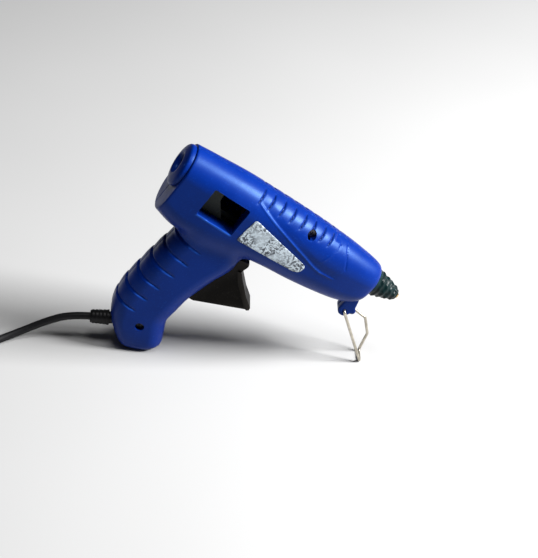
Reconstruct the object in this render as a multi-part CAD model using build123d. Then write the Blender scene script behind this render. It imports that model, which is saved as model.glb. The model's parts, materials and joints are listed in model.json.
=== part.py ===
from build123d import *
import os
from math import asin, atan2, ceil, degrees, hypot, pi, radians, tan

# Trigger-fed hot glue gun for 11 mm glue sticks, standing on the end of its handle and on a wire stand.
#
# The pieces are drawn in the gun's own frame, in millimetres: X runs forward along the glue stick, Y to
# the gun's left and Z up, square to the stick, with zero on the stick's axis. stand() then tips the nose
# down and sets the gun on the floor, with the row's origin under the middle of its box.

# ---------------------------------------------------------------- driving dimensions
FOOT_X, FOOT_Z = 49.0, -142.0     # the point of the handle's end that touches the floor
BAIL_X, BAIL_Z = 187.0, -58.3     # middle of the wire stand's bar, which touches the floor too
STAND_WIRE_R = 1.05
# nose-down angle of the stick's axis as the gun stands on both, degrees
PITCH = degrees(atan2(BAIL_Z - FOOT_Z, BAIL_X - FOOT_X)
                - asin(STAND_WIRE_R / hypot(BAIL_Z - FOOT_Z, BAIL_X - FOOT_X)))
FOOT_TO_MIDDLE = 81.53            # from the handle's foot forward to the middle of the gun's box

STICK_BORE = 5.9                  # radius, for an 11.2 mm stick
WALL = 2.2                        # housing wall
FIT = 0.05                        # radial clearance of a running fit
GAP = 0.3                         # clearance between parts that move past each other

REAR_X, NOSE_X = -6.0, 153.0      # ends of the housing's barrel
COLLAR_X, TIP_X = -11.2, 175.0    # ends of the whole gun along the stick's axis
# x, radius of the round top, and how far the round bottom's centre lies below the stick's axis
BARREL = [
    (REAR_X, 17.2, 18.6), (10, 18.2, 22.6), (34, 19.5, 20.0), (58, 19.6, 15.2), (78, 19.4, 12.8),
    (100, 18.7, 12.2), (121, 17.3, 11.4), (136, 15.6, 10.6), (146, 14.0, 8.6), (NOSE_X, 11.9, 5.0),
]
# z, back, front and width of the handle
HANDLE = [
    (-18, 20.0, 60.0, 30.0), (-42, 17.2, 66.0, 30.5), (-62, 14.4, 60.5, 31.0), (-83, 12.2, 55.6, 30.6),
    (-98, 11.0, 54.4, 30.0), (-110, 11.4, 54.0, 29.4), (-121, 14.4, 58.4, 28.8), (-131, 20.4, 62.2, 27.6),
    (-140, 29.0, 60.0, 24.0), (-148, 39.0, 54.0, 17.0),
]
HANDLE_CORNER = 0.42              # corner radius as a share of the section's shorter side
SECTION_STEP = 7.0                # the forms are lofted through sections no further apart than this

WINDOW_BACK, WINDOW_FRONT = 15.5, 43.5
WINDOW_BOTTOM, WINDOW_TOP = -16.0, 6.0
RAIL_EDGE = 6.5                   # the rails that carry the carriage stop this far from the middle

SCREWS = [(89.6, 12.3), (38.1, -120.0), (74.5, -13.0)]
SCREW_R, SCREW_HEAD_R, SCREW_BOSS_R = 1.5, 3.0, 3.7
RECESS_R, RECESS_FLOOR = 3.2, 9.0

TRIGGER_X, TRIGGER_Z = 56.5, -30.5
TRIGGER_TURN = 24.0               # degrees from rest to fully squeezed
TRIGGER_ARM = 16.7                # from the pivot up to the carriage's cross pin
TRIGGER_WIDTH, PAD_WIDTH, SLOT_WIDTH = 12.6, 15.0, 16.2
TRIGGER_PIN_R = 2.0
FEED_TRAVEL = 2 * TRIGGER_ARM * tan(radians(TRIGGER_TURN / 2))

CARRIAGE_WIDTH, CARRIAGE_BOTTOM, CARRIAGE_TOP = 16.4, WINDOW_BOTTOM + GAP, 12.5
LINK_X = TRIGGER_X - FEED_TRAVEL / 2
LINK_Z = TRIGGER_Z + TRIGGER_ARM
LINK_PIN_R = 1.5
CLAMP_X, CLAMP_Z = 15.0, 9.6
CLAMP_PIN_R = 1.2

SPRING_X0, SPRING_X1, SPRING_Z = 30.5, 48.5, -24.6
SPRING_R, SPRING_WIRE_R = 2.4, 0.35

CHAMBER_R, CHAMBER_BACK, CHAMBER_FRONT = 9.0, 64.0, 147.0
SLEEVE_R, SLEEVE_BACK = 8.0, 46.4
HEATER_X0, HEATER_X1 = 84.0, 120.0

STAND_X, STAND_Z = 150.6, -29.6   # hinge of the wire stand
STAND_BOSS_HALF = 5.2
STAND_LEG_Y = STAND_BOSS_HALF + GAP + STAND_WIRE_R

# The cord, in the row's frame: it leaves the handle along -X, drops to the floor and runs to its hank.
CORD_R = 2.7
OUTLET_X, OUTLET_Z = -100.4, 20.2     # where the strain relief comes out of the handle's back
RELIEF_LENGTH = 15.0                  # outside the handle
CLAMP_BACK, CLAMP_FRONT, JACKET_END = 6.0, 9.5, 12.0     # forward of the outlet
CLAMP_SCREW_Z = 6.0                   # above and below the cord
CORD_ROUTE = [
    (OUTLET_X - RELIEF_LENGTH, 0, OUTLET_Z), (-129.5, 0, 19.9), (-144, -0.8, 14.8), (-160, -2.8, 6.9),
    (-174.5, -9.2, 2.9), (-188, -19.3, 2.85),
]
# The hank is three layers of long turns with round ends, drawn in at the middle by its tie.
HANK_X, HANK_HALF = -239.0, 30.5      # its middle, and from there to the centres of its round ends
HANK_OUT_R, HANK_IN_R, HANK_HEIGHT = 25.5, 14.5, 16.4
HANK_WAIST = 6.0                      # how far each side is drawn in
# The last stretch climbs round the front end of the top turn to the plug, which lies on the hank.
PLUG_RISE = [
    (-228, 15.4, 19.15), (-219, 17.3, 19.3), (-210, 17.7, 19.6), (-200.6, 15.2, 20.0), (-193.6, 8.3, 20.6),
    (-191.1, -1.2, 21.2), (-193.6, -10.7, 21.9), (-200.6, -17.6, 22.6), (-210, -20.1, 23.2),
    (-219.4, -19.3, 23.4), (-228.6, -16.8, 23.4),
]
PLUG_SLANT = 15.0                     # degrees that the plug points to the left of -X
PLUG_RELIEF, PLUG_LENGTH, PLUG_WIDTH, PLUG_HEIGHT = 11.0, 34.0, 35.0, 13.6
PLUG_PIN_R, PLUG_PIN_LENGTH, PLUG_PIN_PITCH = 2.0, 19.0, 18.6


# ---------------------------------------------------------------- placing
def stand(shape):
    """Moves a shape from the gun's frame to the row's frame, where the gun stands on the floor."""
    foot = Vector(FOOT_X, 0, FOOT_Z).rotate(Axis.Y, PITCH)
    turn = Location((-FOOT_TO_MIDDLE - foot.X, 0, -foot.Z)) * Rotation(0, PITCH, 0)
    return turn * shape


def stand_point(x, z):
    """A point of the gun's middle plane, in the row's frame."""
    return stand(Vertex(x, 0, z)).center()


def unstand(shape):
    """Moves a shape from the row's frame back to the gun's frame."""
    foot = Vector(FOOT_X, 0, FOOT_Z).rotate(Axis.Y, PITCH)
    turn = Location((-FOOT_TO_MIDDLE - foot.X, 0, -foot.Z)) * Rotation(0, PITCH, 0)
    return turn.inverse() * shape


# ---------------------------------------------------------------- shape helpers
def block(x0, x1, y0, y1, z0, z1):
    """A box between two corners."""
    return Pos((x0 + x1) / 2, (y0 + y1) / 2, (z0 + z1) / 2) * Box(x1 - x0, y1 - y0, z1 - z0)


def rod_x(radius, x0, x1, y=0.0, z=0.0):
    """A cylinder along X."""
    return Pos((x0 + x1) / 2, y, z) * Rotation(0, 90, 0) * Cylinder(radius, x1 - x0)


def rod_y(radius, y0, y1, x, z):
    """A cylinder along Y."""
    return Pos(x, (y0 + y1) / 2, z) * Rotation(90, 0, 0) * Cylinder(radius, y1 - y0)


def turned_x(outline):
    """A solid turned about the stick's axis from a closed outline of (x, radius) points."""
    face = Plane.XZ * make_face(Polyline(*outline, close=True))
    return revolve(face, Axis.X)


def plate_y(outline, y0, y1):
    """A plate between y0 and y1 with a closed outline of (x, z) points."""
    face = Plane.XZ.offset(-y1) * make_face(Polyline(*outline, close=True))
    return extrude(face, amount=y1 - y0)


def swept_wire(points, radius, bends):
    """A round wire through points, with one bend radius for each corner."""
    path = FilletPolyline(*points, radius=bends)
    start = Plane(origin=path @ 0, z_dir=path % 0)
    return sweep(start * Circle(radius), path=path)


def eased(rows):
    """A table's rows with more rows between them, on a smooth curve through each column."""
    finer = []
    for i, (low, high) in enumerate(zip(rows, rows[1:])):
        before, after = rows[max(i - 1, 0)], rows[min(i + 2, len(rows) - 1)]
        run = high[0] - low[0]
        count = ceil(abs(run) / SECTION_STEP)
        for t in (k / count for k in range(count)):
            row = [low[0] + t * run]
            for column in range(1, len(low)):
                leave = run * (high[column] - before[column]) / (high[0] - before[0])
                arrive = run * (after[column] - low[column]) / (after[0] - low[0])
                row.append((2 * t**3 - 3 * t**2 + 1) * low[column] + (t**3 - 2 * t**2 + t) * leave
                           + (3 * t**2 - 2 * t**3) * high[column] + (t**3 - t**2) * arrive)
            finer.append(row)
    return finer + [rows[-1]]


# ---------------------------------------------------------------- housing
def barrel_section(x, radius, drop):
    """A stadium across the barrel: a round top about the stick and a round bottom below it."""
    across = Plane(origin=(x, 0, 0), x_dir=(0, 1, 0), z_dir=(1, 0, 0))
    edges = Curve() + [
        ThreePointArc((-radius, 0), (0, radius), (radius, 0)),
        Line((radius, 0), (radius, -drop)),
        ThreePointArc((radius, -drop), (0, -drop - radius), (-radius, -drop)),
        Line((-radius, -drop), (-radius, 0)),
    ]
    return across * make_face(edges)


def barrel(inset):
    """The barrel's outer form, or that form set in by a distance, ends included."""
    sections = [barrel_section(x, radius - inset, drop) for x, radius, drop in eased(BARREL)]
    form = loft(sections, ruled=True)
    if inset > 0:
        form = form & block(REAR_X + inset, NOSE_X - inset, -40, 40, -60, 40)
    return form


def handle_section(z, back, front, width):
    """A rounded rectangle across the handle."""
    across = Plane(origin=((back + front) / 2, 0, z))
    corner = HANDLE_CORNER * min(front - back, width)
    return across * RectangleRounded(front - back, width, corner)


def handle(inset):
    """The handle's outer form, or that form set in by a distance."""
    sections = [
        handle_section(z, back + inset, front - inset, width - 2 * inset)
        for z, back, front, width in eased(HANDLE)
    ]
    form = loft(sections, ruled=True)
    # The end is cut along the floor, so that the gun stands on a flat.
    above_floor = unstand(block(-300, 300, -100, 100, inset, 400))
    return form & above_floor


def body(inset):
    """Barrel and handle in one."""
    return barrel(inset) + handle(inset)


def housing_ribs():
    """Ribs and bosses inside the shell, before they are cut to its inside."""
    rails = block(REAR_X, 58, -30, 30, WINDOW_BOTTOM - 2, WINDOW_BOTTOM)
    rails -= block(REAR_X - 1, 59, -RAIL_EDGE, RAIL_EDGE, WINDOW_BOTTOM - 3, WINDOW_BOTTOM + 1)
    sleeve_wall = block(44.2, 46.2, -30, 30, WINDOW_BOTTOM, 30) - rod_x(7.0, 40, 50)
    sleeve_wall -= block(40, 50, -RAIL_EDGE, RAIL_EDGE, WINDOW_BOTTOM - 1, -4)
    ribs = rails + sleeve_wall
    for x in (78.0, 126.0):
        cradle = block(x, x + 2, -30, 30, -40, 30) - rod_x(CHAMBER_R + FIT, x - 1, x + 3)
        ribs += cradle - block(x - 1, x + 3, -12.5, 12.5, -40, -6)
    return ribs


def bosses():
    """A boss round each screw, from wall to wall, two for the trigger's pin and a post for its spring."""
    pillars = [rod_y(SCREW_BOSS_R, -20, 20, x, z) for x, z in SCREWS]
    pillars += [rod_y(4.2, 8.2, 20, TRIGGER_X, TRIGGER_Z), rod_y(4.2, -20, -8.2, TRIGGER_X, TRIGGER_Z)]
    pillars.append(rod_y(1.6, -20, 20, SPRING_X0 - 1.8, SPRING_Z))
    return Part() + pillars - rod_x(CHAMBER_R + GAP, CHAMBER_BACK, CHAMBER_FRONT)


def cord_posts():
    """Two posts in the right half that the cord clamp is screwed to."""
    middle = OUTLET_X + (CLAMP_BACK + CLAMP_FRONT) / 2
    posts = [rod_y(2.3, -20, 0.55, middle, OUTLET_Z + side * CLAMP_SCREW_Z) for side in (-1, 1)]
    holes = [rod_y(1.05, -2.5, 1, middle, OUTLET_Z + side * CLAMP_SCREW_Z) for side in (-1, 1)]
    return Part() + posts - holes


def stand_boss():
    """Hinge block of the wire stand, under the nose, with a stop lobe in front of the knuckle."""
    knuckle = rod_y(4.6, -STAND_BOSS_HALF, STAND_BOSS_HALF, STAND_X, STAND_Z)
    stop = rod_y(2.6, -STAND_BOSS_HALF, STAND_BOSS_HALF, STAND_X + 5.0, STAND_Z + 2.6)
    root = plate_y(
        [(STAND_X - 4.6, -12), (STAND_X - 4.6, STAND_Z), (STAND_X + 3, STAND_Z), (STAND_X + 6.2, STAND_Z + 3),
         (STAND_X + 2, -12)],
        -STAND_BOSS_HALF, STAND_BOSS_HALF,
    )
    return knuckle + stop + root


def housing():
    """Both halves of the shell in one, hollow, with its openings cut."""
    outer, inner = body(0), body(WALL)
    shell = outer - inner
    shell += (housing_ribs() & body(WALL / 2)) + (bosses() & body(WALL / 2))
    shell += stand_boss() - inner
    shell += unstand(cord_posts()) & body(WALL / 2) & block(-60, 220, -60, 0, -200, 60)
    # window in the right side
    shell -= block(WINDOW_BACK, WINDOW_FRONT, -40, -13, WINDOW_BOTTOM, WINDOW_TOP)
    # trigger slot, down the front of the handle, and the room round the trigger's hub
    shell -= block(50, 80, -SLOT_WIDTH / 2, SLOT_WIDTH / 2, -87.5, -33.4)
    shell -= rod_y(6.2, -SLOT_WIDTH / 2, SLOT_WIDTH / 2, TRIGGER_X, TRIGGER_Z)
    # seat of the stick collar, mouth of the nose, hole of the stand's wire, hole of the trigger's pin
    shell -= rod_x(13.0, REAR_X - 1, REAR_X + WALL + 1)
    shell -= rod_x(10.4, NOSE_X - WALL - 1, NOSE_X + 1)
    shell -= rod_y(STAND_WIRE_R + FIT, -10, 10, STAND_X, STAND_Z)
    shell -= rod_y(TRIGGER_PIN_R, -12, 12, TRIGGER_X, TRIGGER_Z)
    # screws: head recess and clearance hole on the right, pilot hole on the left
    for x, z in SCREWS:
        shell -= rod_y(RECESS_R, -40, -RECESS_FLOOR, x, z)
        shell -= rod_y(SCREW_R, -RECESS_FLOOR - 1, 9, x, z)
    # hole of the strain relief
    return shell - unstand(rod_x(4.4, OUTLET_X - 8, OUTLET_X + 8, 0, OUTLET_Z))


# ---------------------------------------------------------------- stick inlet, chamber and nozzle
def rear_collar():
    """Round collar that closes the barrel's end, with the funnel and the guide for the stick."""
    return turned_x([
        (COLLAR_X, 8.0), (COLLAR_X, 9.8), (-10.6, 12.2), (-9.2, 14.4), (-7.6, 15.8), (REAR_X - 0.05, 16.6),
        (REAR_X - 0.05, 12.95), (-1.0, 12.95), (-1.0, 8.4), (6.5, 8.4), (6.5, STICK_BORE),
        (-8.8, STICK_BORE),
    ])


def inlet_sleeve():
    """Soft sleeve that leads the stick into the chamber and keeps the melt in."""
    return turned_x([
        (SLEEVE_BACK, 6.2), (SLEEVE_BACK, 9.4), (SLEEVE_BACK + 2.4, 9.4), (SLEEVE_BACK + 2.4, SLEEVE_R),
        (CHAMBER_BACK + 8, SLEEVE_R), (CHAMBER_BACK + 8, 7.0), (CHAMBER_BACK, 7.0), (CHAMBER_BACK - 2, 6.0),
    ])


def heating_chamber():
    """Cast chamber with a tapered melt bore, a heater pocket under it and a threaded front."""
    chamber = turned_x([
        (CHAMBER_BACK, 7.05), (CHAMBER_BACK + 8.05, 7.05), (CHAMBER_BACK + 8.05, 6.0), (134, 5.2), (139, 3.0),
        (CHAMBER_FRONT, 3.0), (CHAMBER_FRONT, 6.5), (138, CHAMBER_R), (CHAMBER_BACK + 6, CHAMBER_R),
        (CHAMBER_BACK + 6, SLEEVE_R + 0.05), (CHAMBER_BACK, SLEEVE_R + 0.05),
    ])
    chamber -= rod_x(SLEEVE_R + 0.05, CHAMBER_BACK - 1, CHAMBER_BACK + 8.05)
    pocket = block(HEATER_X0, HEATER_X1, -10, 10, -18, -5)
    pocket -= block(HEATER_X0 - 1, HEATER_X1 + 1, -8, 8, -15.5, -9.4)
    return chamber + (pocket - rod_x(CHAMBER_R - 0.5, HEATER_X0 - 1, HEATER_X1 + 1))


def heater():
    """Ceramic heating tablet with its two contact plates."""
    tablet = block(HEATER_X0 + 4, HEATER_X1 - 4, -6, 6, -13.9, -11.0)
    plates = [
        block(HEATER_X0 + 2, HEATER_X1 - 3, -6.4, 6.4, -14.4, -13.9),
        block(HEATER_X0 + 2, HEATER_X1 - 3, -6.4, 6.4, -11.0, -10.5),
    ]
    return tablet, plates


def heater_wrap():
    """Insulating film folded round the heating tablet, open at its ends."""
    outer = block(HEATER_X0 + 1, HEATER_X1 - 1, -7.9, 7.9, -15.4, -9.5)
    return outer - block(HEATER_X0, HEATER_X1, -6.5, 6.5, -14.5, -10.4)


def sleeve_clamp():
    """Wire clamp ring that grips the sleeve on the chamber's end."""
    ring = Pos(CHAMBER_BACK - 3.0, 0, 0) * Rotation(0, 90, 0) * Torus(SLEEVE_R + 0.75, 0.7)
    return ring


def front_bush():
    """Heat-proof bush that centres the chamber's nose in the housing."""
    return turned_x([(139.5, 9.2), (139.5, 12.0), (143.0, 12.0), (143.0, 7.9)])


def nozzle():
    """Turned brass nozzle with a ball seat and a small orifice."""
    return turned_x([
        (CHAMBER_FRONT + 0.05, 3.0), (CHAMBER_FRONT + 0.05, 6.4), (156, 6.4), (158, 5.6), (171.5, 3.0),
        (TIP_X, 1.9), (TIP_X, 0.9), (165.0, 0.9), (160.0, 3.0),
    ])


def nozzle_boot():
    """Soft boot over the nozzle: a flange in the nose, a cone, and rings round it."""
    cone = turned_x([
        (148.2, 6.45), (148.2, 10.2), (155.0, 10.2), (160.0, 9.0), (167.5, 7.0), (173.4, 4.3), (173.4, 2.6),
        (171.55, 3.05), (158.05, 5.65), (156, 6.45),
    ])
    for x, radius in ((157.5, 9.5), (161.5, 8.5), (165.5, 7.4), (169.3, 6.1)):
        cone += Pos(x, 0, 0) * Rotation(0, 90, 0) * Torus(radius - 0.3, 0.9)
    return cone


# ---------------------------------------------------------------- feed mechanism
def feed_carriage():
    """Sliding block round the stick, with a raked front edge and a tongue towards the trigger."""
    half = CARRIAGE_WIDTH / 2
    low, top = CARRIAGE_BOTTOM, CARRIAGE_TOP
    sled = plate_y([(8, low), (35, low), (26, -4), (24, top), (8, top)], -half, half)
    sled -= rod_x(6.2, 0, 60)
    sled -= block(9.5, 30, -2.9, 2.9, 3.0, 20)
    tongue = block(30, LINK_X + 3.2, -2.9, 2.9, low, low + 3.8)
    tongue += block(LINK_X - 3.2, LINK_X + 3.2, -2.9, 2.9, low, LINK_Z + 3.2)
    sled += tongue
    sled -= rod_y(LINK_PIN_R, -10, 10, LINK_X, LINK_Z)
    return sled - rod_y(CLAMP_PIN_R, -10, 10, CLAMP_X, CLAMP_Z)


def link_pin():
    """Cross pin of the carriage, which the trigger's fork pushes."""
    return rod_y(LINK_PIN_R, -6.0, 6.0, LINK_X, LINK_Z)


def clamp_lever():
    """Toothed lever that bites into the stick as the carriage goes forward."""
    lever = rod_y(2.6, -2.5, 2.5, CLAMP_X, CLAMP_Z)
    lever += plate_y(
        [(CLAMP_X, CLAMP_Z + 2.6), (CLAMP_X + 8, CLAMP_Z + 1.6), (CLAMP_X + 9, CLAMP_Z), (CLAMP_X + 7.2, 6.6),
         (CLAMP_X + 6.2, 7.4), (CLAMP_X + 5.2, 6.6), (CLAMP_X + 4.2, 7.4), (CLAMP_X, CLAMP_Z - 2.6)],
        -2.5, 2.5,
    )
    return lever - rod_y(CLAMP_PIN_R + FIT, -5, 5, CLAMP_X, CLAMP_Z)


def clamp_pin():
    """Pin of the clamp lever, pressed into the carriage."""
    return rod_y(CLAMP_PIN_R, -8.0, 8.0, CLAMP_X, CLAMP_Z)


def trigger():
    """Trigger blade with a wide finger pad, a hub, and a fork above it that straddles the tongue."""
    half, pad = TRIGGER_WIDTH / 2, PAD_WIDTH / 2
    front = [(72.0, -44.0), (77.5, -50.0), (86.5, -59.0), (94.4, -65.2), (94.8, -67.4), (93.2, -68.6)]
    blade = plate_y(
        [(TRIGGER_X, TRIGGER_Z - 5.4), (65.0, -36.8), (72.6, -35.6), (73.4, -38.0), *front,
         (58.5, -83.8), (50.5, -84.0), (48.8, -60.0), (TRIGGER_X - 5.4, TRIGGER_Z)],
        -half, half,
    )
    pad_strip = plate_y([(69.0, -44.6), *front, (90.6, -67.4), (83.4, -60.9), (74.4, -52.2)], -pad, pad)
    lever = blade + pad_strip + rod_y(5.4, -half, half, TRIGGER_X, TRIGGER_Z)
    fork_outline = [(-3.6, 0), (3.6, 0), (3.6, TRIGGER_ARM + 2.4), (-3.6, TRIGGER_ARM + 2.4)]
    fork = plate_y(fork_outline, -half + 0.3, half - 0.3)
    fork -= block(-10, 10, -3.3, 3.3, 7.5, 40)
    fork -= block(-LINK_PIN_R - FIT, LINK_PIN_R + FIT, -10, 10, TRIGGER_ARM - 1.9, 40)
    lever += Pos(TRIGGER_X, 0, TRIGGER_Z) * Rotation(0, -TRIGGER_TURN / 2, 0) * fork
    return lever - rod_y(TRIGGER_PIN_R + FIT, -20, 20, TRIGGER_X, TRIGGER_Z)


def trigger_pin():
    """Steel pin that the trigger turns on, held in a boss of each half."""
    return rod_y(TRIGGER_PIN_R, -11.9, 11.9, TRIGGER_X, TRIGGER_Z)


def return_spring():
    """Coil spring below the rails that pulls the trigger's fork back."""
    helix = Helix(pitch=1.5, height=SPRING_X1 - SPRING_X0, radius=SPRING_R)
    start = Plane(origin=helix @ 0, z_dir=helix % 0)
    coil = sweep(start * Circle(SPRING_WIRE_R), path=helix)
    coil = Pos(SPRING_X0, 0, SPRING_Z) * Rotation(0, 90, 0) * coil
    hooks = [
        rod_x(SPRING_WIRE_R, SPRING_X0 - 0.2, SPRING_X0 + 0.5, 0, SPRING_Z - SPRING_R),
        rod_x(SPRING_WIRE_R, SPRING_X1 - 0.5, SPRING_X1 + 3.4, 0, SPRING_Z - SPRING_R),
    ]
    return coil + hooks


# ---------------------------------------------------------------- stand, label, screws
def wire_stand():
    """Bent wire bail: two legs from the hinge, a cross bar on the floor, and one leg bowed forward."""
    inner = STAND_BOSS_HALF - 4.2
    near_foot = (BAIL_X, -STAND_LEG_Y, BAIL_Z)
    far_foot = (BAIL_X, STAND_LEG_Y, BAIL_Z)
    route = [
        (STAND_X, -inner, STAND_Z), (STAND_X, -STAND_LEG_Y, STAND_Z), near_foot, far_foot,
        (182.6, STAND_LEG_Y, -42.4), (172.4, STAND_LEG_Y, -32.0), (STAND_X, STAND_LEG_Y, STAND_Z),
        (STAND_X, inner, STAND_Z),
    ]
    return swept_wire(route, STAND_WIRE_R, [1.5, 2.6, 2.4, 3.0, 3.0, 1.5])


def side_label(outer):
    """Thin label that follows the barrel's right side."""
    skin = loft([barrel_section(x, radius + 0.25, drop) for x, radius, drop in eased(BARREL)], ruled=True)
    outline = plate_y([(50.2, 3.2), (48.2, -16.8), (50.2, -17.6), (96.0, -16.4), (99.4, -13.6), (99.8, -8.6),
                       (97.6, -7.0), (52.0, 3.6)], -40, -5)
    return (skin & outline) - outer


def housing_screws():
    """Pan-head screws that hold the halves together, heads in the right half's recesses."""
    screws = []
    for x, z in SCREWS:
        head = rod_y(SCREW_HEAD_R, -RECESS_FLOOR - 2.0, -RECESS_FLOOR, x, z)
        shank = rod_y(SCREW_R, -RECESS_FLOOR, 8.5, x, z)
        cross = block(x - 1.6, x + 1.6, -RECESS_FLOOR - 2.1, -RECESS_FLOOR - 1.1, z - 0.35, z + 0.35)
        cross += block(x - 0.35, x + 0.35, -RECESS_FLOOR - 2.1, -RECESS_FLOOR - 1.1, z - 1.6, z + 1.6)
        screws.append(head + shank - cross)
    return screws


# ---------------------------------------------------------------- wiring and cord
WIRE_R = 0.9
CONNECTOR_X, CONNECTOR_Z0, CONNECTOR_Z1 = 28.0, -106.0, -95.0


def lead_wires():
    """Two insulated leads from the heater, back past the trigger and down the handle."""
    leads = []
    for side in (-1, 1):
        route = [
            (HEATER_X0 + 1.95, side * 4.6, -12.45), (81.5, side * 6.2, -14.2), (76, side * 9.4, -21.8),
            (67, side * 10.2, -23.6), (34, side * 10.2, -24.6), (25, side * 10, -48), (24, side * 9.6, -76),
            (CONNECTOR_X, side * 5.6, -88), (CONNECTOR_X, side * 5.6, CONNECTOR_Z1),
        ]
        leads.append(swept_wire(route, WIRE_R, [3.0, 3.0, 3.0, 5.0, 8.0, 8.0, 5.0]))
    return leads


def wire_connectors():
    """Two crimped end caps that join the leads to the cord's cores."""
    caps = []
    for side in (-1, 1):
        middle = (CONNECTOR_Z0 + CONNECTOR_Z1) / 2
        caps.append(Pos(CONNECTOR_X, side * 5.6, middle) * Cylinder(2.3, CONNECTOR_Z1 - CONNECTOR_Z0 - 0.02))
    return caps


def cord_cores():
    """The cord's two insulated cores, from the clamped jacket to the connectors."""
    tail = unstand(Vertex(OUTLET_X + JACKET_END + 0.12, 0, OUTLET_Z)).center()
    cores = []
    for side in (-1, 1):
        route = [
            (tail.X, side * 1.2, tail.Z), (tail.X + 1.9, side * 1.3, tail.Z + 1.14),
            (tail.X - 2.6, side * 3.6, -115.0), (CONNECTOR_X, side * 5.6, -110.0),
            (CONNECTOR_X, side * 5.6, CONNECTOR_Z0),
        ]
        cores.append(swept_wire(route, WIRE_R, [1.3, 2.4, 1.8]))
    return cores


def strain_relief():
    """Moulded sleeve round the cord: a flange inside the handle, a neck in its wall and a tapered tail."""
    outline = [
        (-RELIEF_LENGTH, CORD_R + 0.02), (-RELIEF_LENGTH, 4.3), (-RELIEF_LENGTH + 0.8, 4.7), (-1.6, 5.6),
        (-1.6, 4.35), (3.6, 4.35), (3.6, 6.0), (5.4, 6.0), (5.4, CORD_R + 0.02),
    ]
    return Pos(OUTLET_X, 0, OUTLET_Z) * turned_x(outline)


def cord_tail():
    """The stretch of the cord inside the strain relief and the handle."""
    return rod_x(CORD_R, OUTLET_X - RELIEF_LENGTH + 0.1, OUTLET_X + JACKET_END, 0, OUTLET_Z)


def cord_clamp():
    """Bar that holds the cord's jacket against the right half."""
    back, front = OUTLET_X + CLAMP_BACK, OUTLET_X + CLAMP_FRONT
    bar = block(back, front, 0.6, 4.6, OUTLET_Z - 8.5, OUTLET_Z + 8.5)
    bar -= rod_x(CORD_R + 0.02, back - 1, front + 1, 0, OUTLET_Z)
    for side in (-1, 1):
        bar -= rod_y(1.1, -1, 6, (back + front) / 2, OUTLET_Z + side * CLAMP_SCREW_Z)
    return bar


def cord_clamp_screws():
    """Two small screws of the cord clamp."""
    middle = OUTLET_X + (CLAMP_BACK + CLAMP_FRONT) / 2
    screws = []
    for side in (-1, 1):
        z = OUTLET_Z + side * CLAMP_SCREW_Z
        screws.append(rod_y(1.0, -2.4, 4.8, middle, z) + rod_y(2.0, 4.65, 5.9, middle, z))
    return screws


def bend_radii(points):
    """For each corner of a route, the largest arc that its two runs allow."""
    radii = []
    for before, corner, after in zip(points, points[1:], points[2:]):
        run_in, run_out = Vector(*corner) - Vector(*before), Vector(*after) - Vector(*corner)
        turn = radians(run_in.get_angle(run_out))
        radii.append(0.45 * min(run_in.length, run_out.length) / tan(turn / 2))
    return radii


def cord_tube(name, points):
    """A cord tube along straight runs joined by tangent arcs."""
    radii = bend_radii(points)
    path = FilletPolyline(*points, radius=radii)
    start = Plane(origin=path @ 0, z_dir=path % 0)
    tube = sweep(start * Circle(CORD_R), path=path)
    expected = pi * CORD_R**2 * path.length
    print(name, "bend radii", [round(r, 1) for r in radii], "length", round(path.length, 1),
          "volume ratio", round(tube.volume / expected, 4))
    return tube


def hank_face(end_r, waist_r):
    """A long face with round ends of one radius, drawn in to another half width at its middle."""
    left, right = HANK_X - HANK_HALF, HANK_X + HANK_HALF
    edges = []
    for side in (-1, 1):
        edges.append(Spline((left, side * end_r), (HANK_X, side * waist_r), (right, side * end_r),
                            tangents=[(1, 0), (1, 0)]))
    for x, bulge in ((left, -end_r), (right, end_r)):
        edges.append(ThreePointArc((x, -end_r), (x + bulge, 0), (x, end_r)))
    return make_face(edges)


def cord_tie():
    """Flat twist tie round the hank's waist."""
    half = HANK_OUT_R - HANK_WAIST
    outer = Pos(0, 8.72) * RectangleRounded(2 * half + 2.0, HANK_HEIGHT + 1.0, 3.2)
    inner = Pos(0, 8.44) * RectangleRounded(2 * half + 1.0, HANK_HEIGHT - 0.44, 2.6)
    return Pos(HANK_X, 0, 0) * extrude(Plane.YZ * (outer - inner), amount=2.5, both=True)


def cord_hank():
    """Outer form of the folded cord, pinched a little where the tie goes under it."""
    outline = hank_face(HANK_OUT_R, HANK_OUT_R - HANK_WAIST) - hank_face(HANK_IN_R, HANK_IN_R - HANK_WAIST)
    return Pos(0, 0, 0.02) * extrude(outline, amount=HANK_HEIGHT) - cord_tie()


def at_plug(shape):
    """Moves a shape from the plug's own frame, where the cord enters at zero and the pins point along -X."""
    return Location(PLUG_RISE[-1]) * Rotation(0, 0, -PLUG_SLANT) * shape


def plug_body():
    """Flat moulded plug body: a tapered relief, a waisted grip and a flat face for the pins."""
    face = -PLUG_RELIEF - PLUG_LENGTH
    across = [(0, 7.2, 7.2, 3.5), (-PLUG_RELIEF, 10.4, 9.6, 4.2), (-PLUG_RELIEF - 7, 25.0, 12.6, 5.6),
              (-PLUG_RELIEF - 20, 29.0, PLUG_HEIGHT, 6.0), (face + 2, PLUG_WIDTH, PLUG_HEIGHT, 6.0),
              (face, PLUG_WIDTH - 1, PLUG_HEIGHT - 1, 5.6)]
    sections = []
    for at, width, height, corner in across:
        plane = Plane(origin=(at, 0, 0), x_dir=(0, 1, 0), z_dir=(-1, 0, 0))
        sections.append(plane * RectangleRounded(width, height, corner))
    return at_plug(loft(sections, ruled=True))


def plug_pins():
    """Two round contact pins with rounded tips."""
    face = -PLUG_RELIEF - PLUG_LENGTH
    pins = []
    for side in (-1, 1):
        pin = rod_x(PLUG_PIN_R, face - PLUG_PIN_LENGTH, face, side * PLUG_PIN_PITCH / 2)
        tip = pin.edges().sort_by(Axis.X)[0]
        pins.append(at_plug(fillet(tip, 1.2)))
    return pins


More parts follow.
